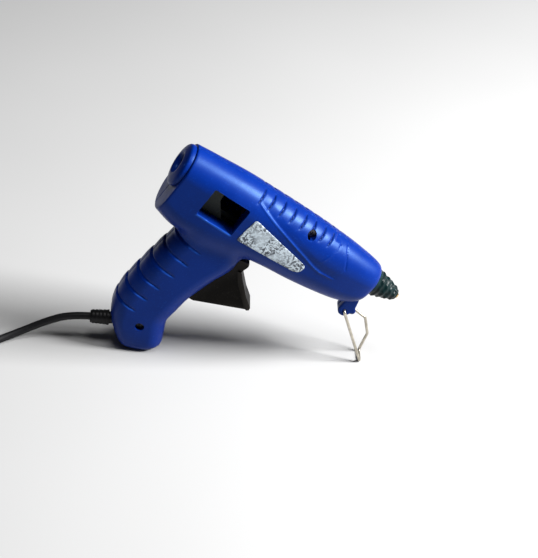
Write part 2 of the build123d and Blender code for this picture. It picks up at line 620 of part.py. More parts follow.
# ---------------------------------------------------------------- export
def save(name, *shapes):
    """Writes one node, of one or more separate solids."""
    solids = []
    for shape in shapes:
        for piece in shape if isinstance(shape, (list, tuple)) else [shape]:
            solids += piece.solids()
    node = solids[0] if len(solids) == 1 else Compound(children=solids)
    node.label = name
    export_step(node, f"parts/{name}.step")


os.makedirs("parts", exist_ok=True)

shell = housing()
save("housing_right", stand(shell & block(-60, 220, -60, 0, -200, 60)))
save("housing_left", stand(shell & block(-60, 220, 0, 60, -200, 60)))

gun_nodes = {
    "rear_collar": rear_collar(),
    "inlet_sleeve": inlet_sleeve(),
    "sleeve_clamp": sleeve_clamp(),
    "heating_chamber": heating_chamber(),
    "heater_tablet": heater()[0],
    "heater_contacts": heater()[1],
    "heater_wrap": heater_wrap(),
    "front_bush": front_bush(),
    "nozzle": nozzle(),
    "nozzle_boot": nozzle_boot(),
    "feed_carriage": feed_carriage(),
    "link_pin": link_pin(),
    "clamp_lever": clamp_lever(),
    "clamp_pin": clamp_pin(),
    "trigger": trigger(),
    "trigger_pin": trigger_pin(),
    "return_spring": return_spring(),
    "wire_stand": wire_stand(),
    "side_label": side_label(body(0)),
    "housing_screws": housing_screws(),
    "lead_wires": lead_wires(),
    "wire_connectors": wire_connectors(),
    "cord_cores": cord_cores(),
}
for name, shape in gun_nodes.items():
    pieces = []
    for piece in shape if isinstance(shape, (list, tuple)) else [shape]:
        pieces += piece if isinstance(piece, list) else [piece]
    save(name, [stand(piece) for piece in pieces])

save("strain_relief", strain_relief())
save("cord_tail", cord_tail())
save("cord_clamp", cord_clamp())
save("cord_clamp_screws", cord_clamp_screws())
save("power_cord", cord_tube("power_cord", CORD_ROUTE))
save("cord_hank", cord_hank())
save("cord_tie", cord_tie())
save("plug_lead", cord_tube("plug_lead", PLUG_RISE))
save("plug_body", plug_body())
save("plug_pins", plug_pins())

for name, x, z in (
    ("trigger pivot", TRIGGER_X, TRIGGER_Z), ("clamp pivot", CLAMP_X, CLAMP_Z),
    ("stand hinge", STAND_X, STAND_Z), ("collar face", COLLAR_X, 0), ("nozzle tip", TIP_X, 0),
):
    point = stand_point(x, z)
    print(name, round(point.X, 3), round(point.Z, 3))
print("feed travel", round(FEED_TRAVEL, 3), "mm, per radian", round(FEED_TRAVEL / radians(TRIGGER_TURN), 4))
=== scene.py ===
import json
import math

import bpy
import bmesh
import numpy as np
from mathutils import Matrix, Quaternion, Vector


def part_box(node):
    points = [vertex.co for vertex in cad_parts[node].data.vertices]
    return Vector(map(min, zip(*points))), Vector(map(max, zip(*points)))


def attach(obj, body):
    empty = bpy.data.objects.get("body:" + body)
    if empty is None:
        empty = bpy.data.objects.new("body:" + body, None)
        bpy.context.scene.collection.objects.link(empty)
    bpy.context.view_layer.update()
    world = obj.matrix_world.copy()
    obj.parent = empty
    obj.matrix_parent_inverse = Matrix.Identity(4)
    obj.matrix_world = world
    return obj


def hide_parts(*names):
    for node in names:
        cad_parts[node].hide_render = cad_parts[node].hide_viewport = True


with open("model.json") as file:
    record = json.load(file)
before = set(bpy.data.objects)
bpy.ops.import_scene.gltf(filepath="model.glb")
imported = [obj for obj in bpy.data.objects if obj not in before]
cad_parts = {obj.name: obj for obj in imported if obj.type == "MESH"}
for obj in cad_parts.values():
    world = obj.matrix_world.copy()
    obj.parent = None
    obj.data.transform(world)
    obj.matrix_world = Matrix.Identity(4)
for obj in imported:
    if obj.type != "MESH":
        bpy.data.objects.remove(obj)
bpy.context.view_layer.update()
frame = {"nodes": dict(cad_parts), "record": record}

NODES = frame["nodes"]
JOINTS = {joint["name"]: joint for joint in frame["record"]["behaviour"]["joints"]}

# ---------------------------------------------------------------- the gun's own frame
# X runs forward along the glue stick, Y to the gun's left and Z up, square to the stick, in millimetres
# from the stick's axis. The feed slides along X, and the trigger's pivot is at a known point of it.
SLIDE = JOINTS["feed_slide"]["axis"]
PITCH = math.atan2(-SLIDE[2], SLIDE[0])
PIVOT_IN_GUN = Vector((0.0565, 0.0, -0.0305))
GUN = (
    Matrix.Translation(JOINTS["trigger_squeeze"]["pos_m"])
    @ Matrix.Rotation(PITCH, 4, "Y")
    @ Matrix.Translation(-PIVOT_IN_GUN)
)
TURN = np.array(GUN.to_3x3())
SHIFT = np.array(GUN.translation)


def to_gun(points):
    """Points of the row's frame, in metres, as millimetres in the gun's frame."""
    return (np.asarray(points) - SHIFT) @ TURN * 1000.0


def to_row(points):
    """Points of the gun's frame, in millimetres, as metres in the row's frame."""
    return np.asarray(points) / 1000.0 @ TURN.T + SHIFT


# ---------------------------------------------------------------- camera
scene = bpy.context.scene
scene.view_settings.view_transform = "Standard"
camera_data = bpy.data.cameras.new("camera")
camera = bpy.data.objects.new("camera", camera_data)
scene.collection.objects.link(camera)
scene.camera = camera
camera_data.lens = 87.98
camera_data.clip_start = 0.02
camera_place = Vector((-0.04848, -0.77180, 0.61825))
camera_target = Vector((0.00516, -0.04224, 0.09396))
CAMERA_ROLL = 6.55
roll = Quaternion((0, 0, 1), math.radians(CAMERA_ROLL))
look = (camera_target - camera_place).to_track_quat("-Z", "Y") @ roll
camera.location = camera_place
camera.rotation_mode = "QUATERNION"
camera.rotation_quaternion = look


# ---------------------------------------------------------------- helpers
def link(obj):
    scene.collection.objects.link(obj)
    return obj


def read_points(mesh):
    points = np.empty(len(mesh.vertices) * 3)
    mesh.vertices.foreach_get("co", points)
    return points.reshape(-1, 3)


def write_points(mesh, points):
    mesh.vertices.foreach_set("co", np.ascontiguousarray(points).ravel())
    mesh.update()


def evaluated(obj):
    """The object's mesh with its modifiers applied."""
    graph = bpy.context.evaluated_depsgraph_get()
    return bpy.data.meshes.new_from_object(obj.evaluated_get(graph))


def shade_smooth(mesh, angle=None):
    """Smooth shading, with edges sharper than the angle kept."""
    mesh.shade_smooth()
    if angle is not None:
        mesh.set_sharp_from_angle(angle=math.radians(angle))


def ring_form(name, rings):
    """An object from rings of points, all with the same count, the first ring closing the form again."""
    rings = [np.asarray(ring) for ring in rings + rings[:1]]
    around = len(rings[0])
    points = np.concatenate(rings)
    faces = []
    for i in range(len(rings) - 1):
        for j in range(around):
            k = (j + 1) % around
            faces.append((i * around + j, i * around + k, (i + 1) * around + k, (i + 1) * around + j))
    mesh = bpy.data.meshes.new(name)
    mesh.from_pydata([tuple(p) for p in points], [], faces)
    mesh.update()
    clean = bmesh.new()
    clean.from_mesh(mesh)
    bmesh.ops.remove_doubles(clean, verts=clean.verts, dist=1e-7)
    bmesh.ops.recalc_face_normals(clean, faces=clean.faces)
    clean.to_mesh(mesh)
    clean.free()
    return link(bpy.data.objects.new(name, mesh))


def lathe(name, outline, turns=96, ripple=None):
    """A closed turned form about the stick's axis: (x, radius) points in the gun's frame, in millimetres."""
    rings = []
    for x, radius in outline:
        ring = []
        for i in range(turns):
            angle = 2 * math.pi * i / turns
            r = radius if ripple is None else radius + ripple(x, radius, angle)
            ring.append((x, r * math.sin(angle), r * math.cos(angle)))
        rings.append(to_row(np.array(ring)))
    return ring_form(name, rings)


def eased_outline(corners, radius=0.5, steps=4):
    """A closed outline with each of its corners rounded off."""
    result = []
    count = len(corners)
    for i in range(count):
        before, here, after = (Vector(corners[(i + k) % count]) for k in (-1, 0, 1))
        cut_in = min(radius, 0.45 * (here - before).length)
        cut_out = min(radius, 0.45 * (after - here).length)
        start = here + (before - here).normalized() * cut_in
        end = here + (after - here).normalized() * cut_out
        for k in range(steps + 1):
            t = k / steps
            result.append(tuple(start * (1 - t) ** 2 + here * 2 * t * (1 - t) + end * t**2))
    return result


# ---------------------------------------------------------------- materials
def material(name):
    """A new material: its node tree, its shader and a coordinate in metres on the object."""
    made = bpy.data.materials.new(name)
    made.use_nodes = True
    tree = made.node_tree
    shader = tree.nodes["Principled BSDF"]
    coordinate = tree.nodes.new("ShaderNodeTexCoord")
    return made, tree, shader, coordinate.outputs["Object"]


def noise(tree, at, scale, detail=2.0, roughness=0.5, distortion=0.0):
    node = tree.nodes.new("ShaderNodeTexNoise")
    node.inputs["Scale"].default_value = scale
    node.inputs["Detail"].default_value = detail
    node.inputs["Roughness"].default_value = roughness
    node.inputs["Distortion"].default_value = distortion
    tree.links.new(at, node.inputs["Vector"])
    return node.outputs["Fac"]


def spread(tree, value, low, high, out_low, out_high):
    """A value moved from one range to another."""
    node = tree.nodes.new("ShaderNodeMapRange")
    node.inputs["From Min"].default_value = low
    node.inputs["From Max"].default_value = high
    node.inputs["To Min"].default_value = out_low
    node.inputs["To Max"].default_value = out_high
    tree.links.new(value, node.inputs["Value"])
    return node.outputs["Result"]


def mixed(tree, factor, first, second):
    """A colour between two, each a colour or another node's output."""
    node = tree.nodes.new("ShaderNodeMix")
    node.data_type = "RGBA"
    tree.links.new(factor, node.inputs["Factor"])
    for socket, colour in ((node.inputs[6], first), (node.inputs[7], second)):
        if isinstance(colour, tuple):
            socket.default_value = (*colour, 1.0)
        else:
            tree.links.new(colour, socket)
    return node.outputs[2]


def bump(tree, height, strength, distance, below=None):
    node = tree.nodes.new("ShaderNodeBump")
    node.inputs["Strength"].default_value = strength
    node.inputs["Distance"].default_value = distance
    tree.links.new(height, node.inputs["Height"])
    if below is not None:
        tree.links.new(below, node.inputs["Normal"])
    return node.outputs["Normal"]


def mark(tree, name):
    """A share that a mesh holds at each of its points."""
    node = tree.nodes.new("ShaderNodeAttribute")
    node.attribute_name = name
    return node.outputs["Fac"]


def worn_edges(tree, colour, lighter, low=0.53, high=0.62):
    """A colour that is worn lighter along the outer edges."""
    geometry = tree.nodes.new("ShaderNodeNewGeometry")
    edge = spread(tree, geometry.outputs["Pointiness"], low, high, 0.0, 0.55)
    return mixed(tree, edge, colour, lighter)


def moulded(name, colour, dark, light, rough, grain=0.00004, grain_scale=2600.0, specular=0.5, worn=None,
            marked=False, tint=(1.0, 1.0, 1.0)):
    """Moulded plastic or rubber: fine grain, faint flow marks, and uneven gloss from handling."""
    made, tree, shader, at = material(name)
    cloudy = spread(tree, noise(tree, at, 38.0, 3.0), 0.3, 0.7, 0.0, 1.0)
    base = mixed(tree, cloudy, dark, colour)
    fleck = spread(tree, noise(tree, at, 900.0, 2.0), 0.58, 0.8, 0.0, 0.6)
    base = mixed(tree, fleck, base, light)
    if worn is not None:
        base = worn_edges(tree, base, worn)
    if marked:
        # painted shade: the crescent grooves darkened toward near-black blue
        base = mixed(tree, mark(tree, "painted_shade"), base, (0.0003, 0.003, 0.04))
        # painted highlight: the worn colour laid along the raised lines, the sill's edge and the finger grooves'
        # front ends
        base = mixed(tree, mark(tree, "painted_highlight"), base, worn)
    tree.links.new(base, shader.inputs["Base Color"])
    handled = noise(tree, at, 70.0, 4.0, 0.6)
    tree.links.new(spread(tree, handled, 0.3, 0.7, rough - 0.05, rough + 0.07), shader.inputs["Roughness"])
    waves = bump(tree, noise(tree, at, 160.0, 1.0), 0.25, 0.00006)
    tree.links.new(bump(tree, noise(tree, at, grain_scale, 2.0), 0.5, grain, waves), shader.inputs["Normal"])
    shader.inputs["Specular IOR Level"].default_value = specular
    shader.inputs["Specular Tint"].default_value = (*tint, 1.0)
    return made


def metal(name, colour, dull, rough, streak_scale=(900.0, 900.0, 60.0), strength=0.15):
    """Drawn or turned metal with fine streaks and dull patches."""
    made, tree, shader, at = material(name)
    patch = spread(tree, noise(tree, at, 220.0, 4.0, 0.65), 0.4, 0.65, 0.0, 1.0)
    tree.links.new(mixed(tree, patch, colour, dull), shader.inputs["Base Color"])
    stretch = tree.nodes.new("ShaderNodeMapping")
    stretch.inputs["Scale"].default_value = streak_scale
    tree.links.new(at, stretch.inputs["Vector"])
    streaks = noise(tree, stretch.outputs["Vector"], 1.0, 2.0)
    tree.links.new(spread(tree, streaks, 0.3, 0.7, rough - 0.08, rough + 0.12), shader.inputs["Roughness"])
    tree.links.new(bump(tree, streaks, strength, 0.00002), shader.inputs["Normal"])
    shader.inputs["Metallic"].default_value = 1.0
    return made


# the worn colour also serves as the painted highlight on marked lines, and marked adds painted shade in the
# grooves
BLUE = moulded("shell blue", (0.001, 0.018, 0.185), (0.0008, 0.014, 0.150), (0.003, 0.040, 0.290), 0.35,
               grain=0.00004, specular=0.22, worn=(0.02, 0.10, 0.50), marked=True, tint=(0.28, 0.58, 1.0))
BROWN_NYLON = moulded("trigger nylon", (0.006, 0.005, 0.004), (0.004, 0.0035, 0.003), (0.03, 0.027, 0.024), 0.45,
                      specular=0.05, worn=(0.05, 0.045, 0.04))
GREY_NYLON = moulded("carriage nylon", (0.040, 0.046, 0.036), (0.030, 0.035, 0.028), (0.08, 0.09, 0.07), 0.5,
                     specular=0.2)
BOOT_RUBBER = moulded("boot silicone", (0.002, 0.012, 0.013), (0.0005, 0.003, 0.004), (0.010, 0.04, 0.04), 0.36,
                      grain=0.00010, grain_scale=900.0, specular=0.13, worn=(0.015, 0.06, 0.065))
CORD_RUBBER = moulded("cord vinyl", (0.010, 0.010, 0.011), (0.007, 0.007, 0.008), (0.02, 0.02, 0.022), 0.45,
                      specular=0.2)
HEATPROOF = moulded("heatproof black", (0.02, 0.02, 0.02), (0.014, 0.014, 0.014), (0.05, 0.05, 0.05), 0.6)
SILICONE_RED = moulded("sleeve silicone", (0.42, 0.06, 0.04), (0.34, 0.045, 0.03), (0.5, 0.1, 0.07), 0.55)
LEAD_SKIN = moulded("lead silicone", (0.70, 0.67, 0.62), (0.6, 0.57, 0.52), (0.8, 0.78, 0.74), 0.5)
CAP_NYLON = moulded("connector nylon", (0.80, 0.80, 0.76), (0.7, 0.7, 0.66), (0.88, 0.88, 0.85), 0.45)
TIE_SKIN = moulded("tie vinyl", (0.70, 0.70, 0.67), (0.62, 0.62, 0.59), (0.8, 0.8, 0.78), 0.4)
FILM = moulded("insulating film", (0.55, 0.24, 0.03), (0.45, 0.19, 0.02), (0.65, 0.32, 0.06), 0.25)
CERAMIC = moulded("heater ceramic", (0.82, 0.80, 0.74), (0.74, 0.72, 0.66), (0.9, 0.88, 0.84), 0.7)
STEEL = metal("plated steel", (0.62, 0.62, 0.60), (0.45, 0.44, 0.42), 0.32)
SCREW_STEEL = metal("blackened steel", (0.10, 0.10, 0.11), (0.05, 0.05, 0.05), 0.38)
STAND_STEEL = metal("stand wire", (0.56, 0.52, 0.44), (0.36, 0.33, 0.27), 0.38)
ALUMINIUM = metal("cast aluminium", (0.62, 0.62, 0.63), (0.48, 0.48, 0.48), 0.5, (700.0, 700.0, 700.0), 0.4)
BRASS = metal("turned brass", (0.72, 0.50, 0.20), (0.50, 0.34, 0.14), 0.28, (60.0, 1200.0, 1200.0))
NICKEL = metal("nickel plate", (0.72, 0.70, 0.65), (0.60, 0.58, 0.53), 0.18)


def dress(obj, made):
    """Gives an object one material all over."""
    if obj.data.materials:
        for i in range(len(obj.data.materials)):
            obj.data.materials[i] = made
    else:
        obj.data.materials.append(made)


# ---------------------------------------------------------------- cord
CORD_R, CORD_LENGTH = 0.0027, 1.345
# from the strain relief to the hank, in metres, along the CAD model's tube
ROUTE = [
    (-0.1154, 0, 0.0202), (-0.1295, 0, 0.0199), (-0.144, -0.0008, 0.0148), (-0.160, -0.0028, 0.0069),
    (-0.1745, -0.0092, 0.0029), (-0.188, -0.0193, 0.00285), (-0.1992, -0.0231, 0.0028),
]
HANK_X, HANK_HALF, HANK_WAIST = -0.239, 0.0305, 0.006
# points on each turn, and turns before the lead to the plug takes over
HANK_STEPS, HANK_TURNS = 22, 4.63
# turns from the start, end radius and height of the middle of the cord, in millimetres, as it winds in
# along the floor, out again on top of that, and in once more
WINDING = np.array([
    (0.0, 23.2, 2.8), (0.58, 23.2, 2.75), (0.8, 17.7, 2.75), (1.28, 17.7, 2.8), (1.54, 17.7, 8.2),
    (2.06, 17.7, 8.2), (2.28, 23.2, 8.2), (2.8, 23.2, 8.3), (3.04, 23.2, 13.65), (3.58, 23.2, 13.65),
    (3.8, 17.7, 13.65), (4.38, 17.7, 13.8), (4.68, 18.8, 19.3),
])
# from the top of the hank round to the plug that lies on it, in metres
PLUG_RISE = [
    (-0.2280, 0.0154, 0.01915), (-0.2190, 0.0173, 0.0193), (-0.2100, 0.0177, 0.0196), (-0.2006, 0.0152, 0.0200),
    (-0.1936, 0.0083, 0.0206), (-0.1911, -0.0012, 0.0212), (-0.1936, -0.0107, 0.0219), (-0.2006, -0.0176, 0.0226),
    (-0.2100, -0.0201, 0.0232), (-0.2194, -0.0193, 0.0234), (-0.2286, -0.0168, 0.0234),
]


def hank_point(turn):
    """A point of the winding: long turns with round ends, drawn in at the middle where the tie is."""
    radius, height = (np.interp(turn, WINDING[:, 0], WINDING[:, k]) / 1000 for k in (1, 2))
    side, end = 2 * HANK_HALF, math.pi * radius
    along = (turn % 1.0) * 2 * (side + end)
    flip = 1 if along < side + end else -1
    along %= side + end
    if along < side:
        x = HANK_HALF - along
        y = -radius + HANK_WAIST * math.cos(x / HANK_HALF * math.pi / 2) ** 2
    else:
        angle = (along - side) / radius
        x, y = -HANK_HALF - radius * math.sin(angle), -radius * math.cos(angle)
    return Vector((HANK_X + flip * x, flip * y, height))


def cord_points():
    winding = [hank_point(i / HANK_STEPS) for i in range(1, round(HANK_TURNS * HANK_STEPS))]
    return [Vector(p) for p in ROUTE] + winding + [Vector(p) for p in PLUG_RISE]


curve = bpy.data.curves.new("cord_line", "CURVE")
curve.dimensions = "3D"
curve.resolution_u = 6
line = curve.splines.new("NURBS")
route_points = cord_points()
line.points.add(len(route_points) - 1)
for point, place in zip(line.points, route_points):
    point.co = (*place, 1.0)
    point.radius = CORD_R
line.order_u = 3
line.use_endpoint_u = True
curve.bevel_depth = 1.0
curve.bevel_resolution = 6
cord = link(bpy.data.objects.new("mains_cord", curve))
dress(cord, CORD_RUBBER)
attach(cord, "housing")
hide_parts("power_cord", "cord_hank", "plug_lead")

# ---------------------------------------------------------------- floor and light
floor_mesh = bpy.data.meshes.new("floor")
FLOOR_HALF = 4
corners = [(i * FLOOR_HALF, j * FLOOR_HALF, 0) for i, j in ((-1, -1), (1, -1), (1, 1), (-1, 1))]
floor_mesh.from_pydata(corners, [], [(0, 1, 2, 3)])
floor = link(bpy.data.objects.new("floor", floor_mesh))
made, tree, shader, at = material("floor")
shade = spread(tree, noise(tree, at, 3.0, 2.0), 0.3, 0.7, 0.0, 1.0)
tree.links.new(mixed(tree, shade, (0.40, 0.40, 0.40), (0.42, 0.42, 0.42)), shader.inputs["Base Color"])
shader.inputs["Roughness"].default_value = 0.9
dress(floor, made)

world = bpy.data.worlds.new("world")
scene.world = world
world.use_nodes = True
world.node_tree.nodes["Background"].inputs["Color"].default_value = (1.0, 1.0, 1.0, 1.0)
world.node_tree.nodes["Background"].inputs["Strength"].default_value = 0.03


def area_light(name, place, aim, size, power):
    """A square lamp at a place, turned to the point that it aims at."""
    data = bpy.data.lights.new(name, "AREA")
    data.energy = power
    data.size = size
    lamp = link(bpy.data.objects.new(name, data))
    lamp.location = place
    lamp.rotation_euler = (Vector(aim) - Vector(place)).to_track_quat("-Z", "Y").to_euler()


area_light("key", (1.14, -0.14, 1.00), (0.0, 0.0, 0.08), 0.50, 70.0)
area_light("top", (0.05, -0.20, 1.45), (0.0, 0.0, 0.05), 0.45, 8.0)

# ---------------------------------------------------------------- the shell's form
# Outer form of the shell in the gun's frame, in millimetres, as the CAD model has it.
# x, radius of the round top, and how far the round bottom's centre lies below the stick's axis
BARREL = np.array([
    (-6, 17.2, 18.6), (10, 18.2, 22.6), (34, 19.5, 20.0), (58, 19.6, 15.2), (78, 19.4, 12.8),
    (100, 18.7, 12.2), (121, 17.3, 11.4), (136, 15.6, 10.6), (146, 14.0, 8.6), (153, 11.9, 5.0),
])
# z, back, front and width of the handle
HANDLE = np.array([
    (-18, 20.0, 60.0, 30.0), (-42, 17.2, 66.0, 30.5), (-62, 14.4, 60.5, 31.0), (-83, 12.2, 55.6, 30.6),
    (-98, 11.0, 54.4, 30.0), (-110, 11.4, 54.0, 29.4), (-121, 14.4, 58.4, 28.8), (-131, 20.4, 62.2, 27.6),
    (-140, 29.0, 60.0, 24.0), (-148, 39.0, 54.0, 17.0),
])
HANDLE_CORNER = 0.42
REAR_X, NOSE_X, HANDLE_END = -6.0, 153.0, -148.0
FOOT = (49.0, -142.0)
VOXEL = 0.66


def eased(at, places, values):
    """Values between the places of a table, on the smooth curve that the CAD model uses."""
    leave = np.empty_like(values)
    leave[1:-1] = (values[2:] - values[:-2]) / (places[2:] - places[:-2])
    leave[0] = (values[1] - values[0]) / (places[1] - places[0])
    leave[-1] = (values[-1] - values[-2]) / (places[-1] - places[-2])
    i = np.clip(np.searchsorted(places, at) - 1, 0, len(places) - 2)
    run = places[i + 1] - places[i]
    t = np.clip((at - places[i]) / run, 0, 1)
    return ((2 * t**3 - 3 * t**2 + 1) * values[i] + (t**3 - 2 * t**2 + t) * run * leave[i]
            + (3 * t**2 - 2 * t**3) * values[i + 1] + (t**3 - t**2) * run * leave[i + 1])


def soft_min(a, b, reach):
    """The smaller of two fields, with a fillet of about that reach where they meet."""
    if reach == 0:
        return np.minimum(a, b)
    share = np.clip(0.5 + 0.5 * (b - a) / reach, 0, 1)
    return b + (a - b) * share - reach * share * (1 - share)


def soft_max(a, b, reach):
    return -soft_min(-a, -b, reach)


def form(points, junction=7.0, nose=4.0, foot=6.0, rear=1.2):
    """Distance outside the shell's outer form, its edges and junction rounded by the reaches, or sharp at 0."""
    x, y, z = points.T
    radius = eased(x, BARREL[:, 0], BARREL[:, 1])
    drop = eased(x, BARREL[:, 0], BARREL[:, 2])
    barrel = np.hypot(y, z - np.clip(z, -drop, 0)) - radius
    barrel = soft_max(soft_max(barrel, x - NOSE_X, nose), REAR_X - x, rear)
    back, front, width = (eased(-z, -HANDLE[:, 0], HANDLE[:, k]) for k in (1, 2, 3))
    corner = HANDLE_CORNER * np.minimum(front - back, width)
    along = np.abs(x - (back + front) / 2) - ((front - back) / 2 - corner)
    across = np.abs(y) - (width / 2 - corner)
    handle = np.hypot(np.maximum(along, 0), np.maximum(across, 0)) + np.minimum(np.maximum(along, across), 0)
    handle = np.maximum(handle - corner, z + 16)
    below = math.sin(PITCH) * (x - FOOT[0]) - math.cos(PITCH) * (z - FOOT[1])
    handle = soft_max(soft_max(handle, below, foot), HANDLE_END - z, foot)
    return soft_min(barrel, handle, junction)


def bell(distance, half_width):
    """A rounded groove's depth share across it."""
    return np.exp(-((distance / half_width) ** 2))


def between(value, low, high, ease):
    """1 between two values, fading to 0 over the ease."""
    rise = np.clip((value - low) / ease + 0.5, 0, 1)
    fall = np.clip((high - value) / ease + 0.5, 0, 1)
    share = np.minimum(rise, fall)
    return share * share * (3 - 2 * share)


# x of each crescent groove, (x, z) along the raised line, and (x, degrees down the side) of the nose's edge
BARREL_GROOVES = [46.9, 55.0, 63.8, 72.5, 81.3, 89.4, 97.7, 105.0]
RIDGE = np.array([(46.0, 13.6), (62.0, 8.2), (76.0, 4.0), (92.0, -1.0), (108.0, -5.9), (122.0, -6.4)])
NOSE_EDGE = np.array([(111.0, 0.0), (112.4, 27.0), (112.2, 48.0), (108.8, 66.0), (106.6, 83.0), (104.5, 92.0)])
# outer edge of the window's sill
WINDOW_BACK, WINDOW_FRONT, SILL_Z = 15.5, 43.5, -16.5
# height below which a point is on the handle's grip, and height of the barrel's underside
GRIP_TOP, BARREL_BOTTOM = -30, -20
# height of each finger groove at the handle's back, and x of its front end
GRIP_GROOVES = [(-42.3, 36.5), (-55.4, 35.0), (-69.0, 32.6), (-83.4, 30.2), (-96.6, 28.8), (-109.5, 27.0)]


def sides_of(points):
    """Each point's angle down either side from the barrel's top, in degrees, and whether it's on the barrel."""
    _, y, z = points.T
    return np.degrees(np.arctan2(np.abs(y), z)), z > BARREL_BOTTOM


def past_crescent(x, side, groove):
    """How far a point is in front of a crescent groove, whose lower end is swept back."""
    sweep = np.clip((side - 14) / 38, 0, 1.3)
    return x - (groove - 2.0 * sweep**2)


def above_grip_groove(x, z, groove):
    """How far a point is above a finger groove, which turns down towards its front end."""
    return z - groove + 0.9 * np.clip((x - 20) / 16, 0, 1) ** 2


def relief(points):
    """How far the surface is set in (or stands out, when negative) for its grooves, scallops and lines."""
    x, y, z = points.T
    side, on_barrel = sides_of(points)
    depth = np.zeros(len(points))
    # crescent grooves across the barrel, with a shallow scallop between each and the next
    for i, groove in enumerate(BARREL_GROOVES):
        offset = past_crescent(x, side, groove)
        window = between(side, 9, 50, 13) * on_barrel
        depth += 0.70 * bell(offset, 0.50) * window
        if i + 1 < len(BARREL_GROOVES):
            pitch = BARREL_GROOVES[i + 1] - groove
            share = np.clip(offset / pitch, 0, 1)
            inside = (offset > 0) & (offset <= pitch)
            depth += 0.24 * (2 * share - 1) ** 2 * window * inside
    # raised line between the grooved panel and the lower side, and the panel's step above it
    above = z - eased(x, RIDGE[:, 0], RIDGE[:, 1])
    along = between(x, 47, 121, 6) * on_barrel * (np.abs(y) > 8)
    depth -= 0.40 * bell(above, 0.75) * along
    depth += 0.45 * np.clip(1 - above / 6.0, 0, 1) * np.clip(above / 0.8, 0, 1) * along
    # edge of the nose: a notch across the top that runs down each side as a raised line
    edge_x = np.interp(side, NOSE_EDGE[:, 1], NOSE_EDGE[:, 0])
    ahead = x - edge_x
    top = between(side, -30, 24, 16) * on_barrel
    flank = between(side, 40, 88, 14) * on_barrel
    depth += 0.95 * np.clip(1 - (x - 108.0) / 9.0, 0, 1) * np.clip((x - 107.2) / 0.8, 0, 1) * top
    depth += 0.38 * bell(ahead, 0.5) * between(side, 22, 52, 10) * on_barrel
    depth -= 0.26 * bell(ahead, 0.6) * flank
    # the nose piece's own joint line, upright as the gun stands
    upright = x - (117.4 + (16.9 - z) * 0.54)
    depth += 0.40 * bell(upright, 0.45) * between(z, 4.0, 17.5, 2.0)
    # finger grooves round the back of the handle
    for groove, end in GRIP_GROOVES:
        offset = above_grip_groove(x, z, groove)
        reach = np.clip((end - x) / 2.2 + 0.5, 0, 1)
        depth += 0.90 * bell(offset, 0.75) * reach * (z < GRIP_TOP)
        step = np.clip(1 - offset / 8.0, 0, 1) * np.clip(offset / 0.6, 0, 1) * np.clip((end - x) / 10.0, 0, 1)
        depth += 0.60 * step * (z < GRIP_TOP)
    # parting line
    depth += 0.16 * np.clip(1 - np.abs(y) / 0.55, 0, 1)
    return depth


def marks(points):
    """Where painted shade darkens the surface in its grooves, and where painted highlights lighten its raised
    lines.
    """
    x, y, z = points.T
    side, on_barrel = sides_of(points)
    painted_shade, painted_highlight = np.zeros(len(points)), np.zeros(len(points))
    # painted shade along each crescent groove on the barrel
    for groove in BARREL_GROOVES:
        line = bell(past_crescent(x, side, groove), 0.45) * between(side, 12, 48, 8)
        painted_shade = np.maximum(painted_shade, line * on_barrel)
    # painted highlights just below the front end of each finger groove
    for groove, end in GRIP_GROOVES:
        offset = above_grip_groove(x, z, groove)
        painted_highlight = np.maximum(painted_highlight, 0.75 * bell(offset + 0.8, 0.38) * between(x, end - 9.0, end + 0.5, 4.0))
    # painted highlight along the window sill's outer edge, on the right half only
    sill = bell(z - SILL_Z, 0.5) * between(x, WINDOW_BACK, WINDOW_FRONT, 2.0) * (y < 0)
    painted_highlight = np.maximum(painted_highlight, sill)
    # painted highlight along the raised line
    above = z - eased(x, RIDGE[:, 0], RIDGE[:, 1])
    painted_highlight = np.maximum(painted_highlight, 0.3 * bell(above, 0.55) * between(x, 50, 112, 8) * on_barrel * (np.abs(y) > 8))
    return painted_shade, painted_highlight


def neighbours_mean(points, edges):
    total = np.zeros_like(points)
    count = np.bincount(edges.ravel(), minlength=len(points))
    for axis in range(3):
        total[:, axis] = np.bincount(edges[:, 0], points[edges[:, 1], axis], len(points))
        total[:, axis] += np.bincount(edges[:, 1], points[edges[:, 0], axis], len(points))
    return total / np.maximum(count, 1)[:, None]


def smoothed(points, edges, rounds):
    """Evens out a mesh without shrinking it."""
    for _ in range(rounds):
        points = points + 0.5 * (neighbours_mean(points, edges) - points)
        points = points - 0.52 * (neighbours_mean(points, edges) - points)
    return points


def edge_array(mesh):
    edges = np.empty(len(mesh.edges) * 2, dtype=np.int64)
    mesh.edges.foreach_get("vertices", edges)
    return edges.reshape(-1, 2)


def settle(points, weight):
    """Moves points onto the finished outer surface, as far as each one's weight says."""
    moved = points.copy()
    chosen = weight > 0
    here = moved[chosen]
    step = 0.05
    for _ in range(4):
        value = form(here) + relief(here)
        slope = np.empty_like(here)
        for axis in range(3):
            shift = np.zeros(3)
            shift[axis] = step
            slope[:, axis] = (form(here + shift) - form(here - shift)) / (2 * step)
        steep = np.maximum((slope**2).sum(axis=1), 0.2)
        here = here - slope * (value / steep)[:, None]
    moved[chosen] = points[chosen] + (here - points[chosen]) * weight[chosen][:, None]
    return moved


